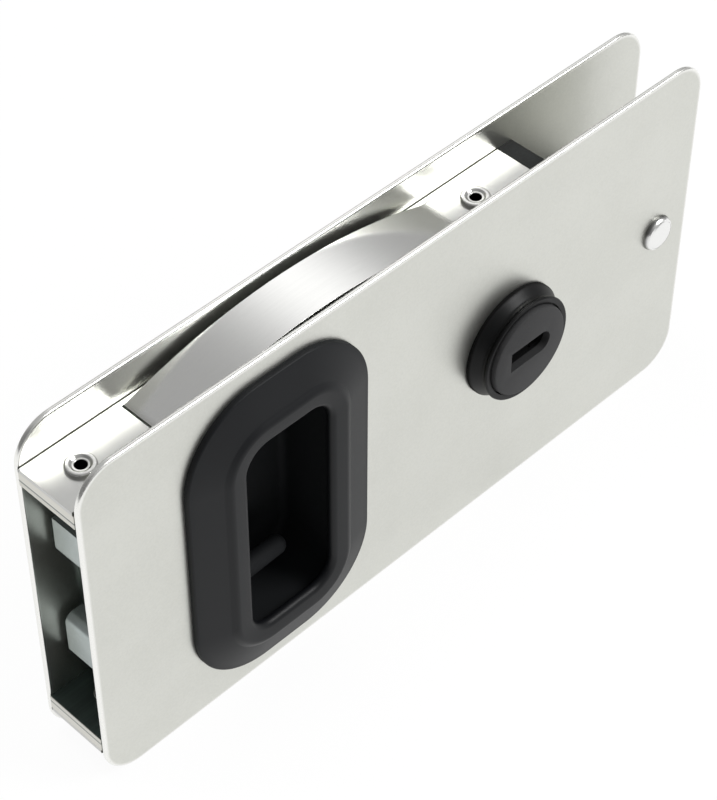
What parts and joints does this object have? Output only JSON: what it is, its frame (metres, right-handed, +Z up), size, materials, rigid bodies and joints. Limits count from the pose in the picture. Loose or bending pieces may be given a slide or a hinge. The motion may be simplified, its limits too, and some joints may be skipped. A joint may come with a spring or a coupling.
{
  "type": "latch",
  "caption": "flush latch for a frameless sliding door: two thin cover plates on a slim case, recessed finger cup, geared hook claws at one end, key lock and bowed spring strips",
  "frame": {"origin": "middle of the end pad's outer face, where the door leaf's edge rests", "axes": "+X from the claws toward the door leaf, +Y from the cup side to the rear, +Z up"},
  "size_m": [0.198, 0.0415, 0.1],
  "materials": {
    "satin_plate": "fine satin stainless sheet, brighter along its rounded edge",
    "bright_strap": "bright polished strip",
    "bar_steel": "plain drawn steel with a light grain",
    "pad_rubber": "dense matt rubber",
    "cup_plastic": "charcoal moulded nylon with a soft sheen",
    "pin_steel": "bright turned steel",
    "cast_claw": "light grey tumbled casting",
    "black_metal": "satin black coating",
    "plug_metal": "dark grey satin coating",
    "polished_bolt": "polished dome",
    "sleeve_plastic": "off-white spacer sleeve"
  },
  "bodies": {
    "case": {"front_plate": "satin_plate", "rear_plate": "satin_plate", "outer_strap": "bright_strap", "frame_bar": "bar_steel", "chassis": "bar_steel", "end_pad": "pad_rubber", "strap_rivets": "bright_strap", "front_cup": "cup_plastic", "cup_screws": "pin_steel", "lever_pin": "pin_steel", "lever_clip": "pin_steel", "claw_pins": "pin_steel", "upper_claw_spring": "pin_steel", "lower_claw_spring": "pin_steel", "lock_barrel": "black_metal", "lock_clip": "pin_steel", "slide_guides": "bar_steel", "rear_rose": "black_metal", "bolt_dome_nut": "polished_bolt", "bolt_screw": "polished_bolt", "door_sleeve": "sleeve_plastic"},
    "lower_claw_body": {"lower_claw": "cast_claw"},
    "upper_claw_body": {"upper_claw": "cast_claw"},
    "lever_body": {"release_lever": "cup_plastic"},
    "rotor": {"key_plug": "plug_metal", "lock_cam": "bar_steel", "cam_screw": "pin_steel", "thumb_turn": "black_metal"},
    "shutter_body": {"key_shutter": "black_metal"},
    "slide_body": {"lock_slide": "bar_steel"}
  },
  "joints": [
    {"name": "lower_claw_swing", "type": "hinge", "parent": "case", "child": "lower_claw_body", "pos_m": [-0.1235, 0, -0.019], "axis": [0, -1, 0], "range_deg": [0, 12], "stiffness_Nm_per_rad": 0.14, "springref_deg": -20.05, "deforming": ["lower_claw_spring"]},
    {"name": "upper_claw_swing", "type": "hinge", "parent": "case", "child": "upper_claw_body", "pos_m": [-0.1235, 0, 0.019], "axis": [0, 1, 0], "range_deg": [0, 12], "stiffness_Nm_per_rad": 0.14, "springref_deg": -20.05, "deforming": ["upper_claw_spring"]},
    {"name": "lever_press", "type": "hinge", "parent": "case", "child": "lever_body", "pos_m": [-0.1175, 0, -0.031], "axis": [0, 1, 0], "range_deg": [0, 10]},
    {"name": "key_turn", "type": "hinge", "parent": "case", "child": "rotor", "pos_m": [-0.0185, 0, 0.0007], "axis": [0, 1, 0], "range_deg": [0, 90]},
    {"name": "slide_travel", "type": "slide", "parent": "case", "child": "slide_body", "axis": [1, 0, 0], "range_m": [0, 0.00495]},
    {"name": "shutter_swing", "type": "hinge", "parent": "rotor", "child": "shutter_body", "pos_m": [-0.0185, -0.01341, 0.0037], "axis": [1, 0, 0], "range_deg": [0, 70], "stiffness_Nm_per_rad": 0.002, "springref_deg": -17.19}
  ],
  "couplings": [
    {"joint": "upper_claw_swing", "follows": "lower_claw_swing", "ratio": 1},
    {"joint": "lever_press", "follows": "lower_claw_swing", "ratio": 0.83333},
    {"joint": "slide_travel", "follows": "key_turn", "m_per_rad": 0.0031513}
  ]
}
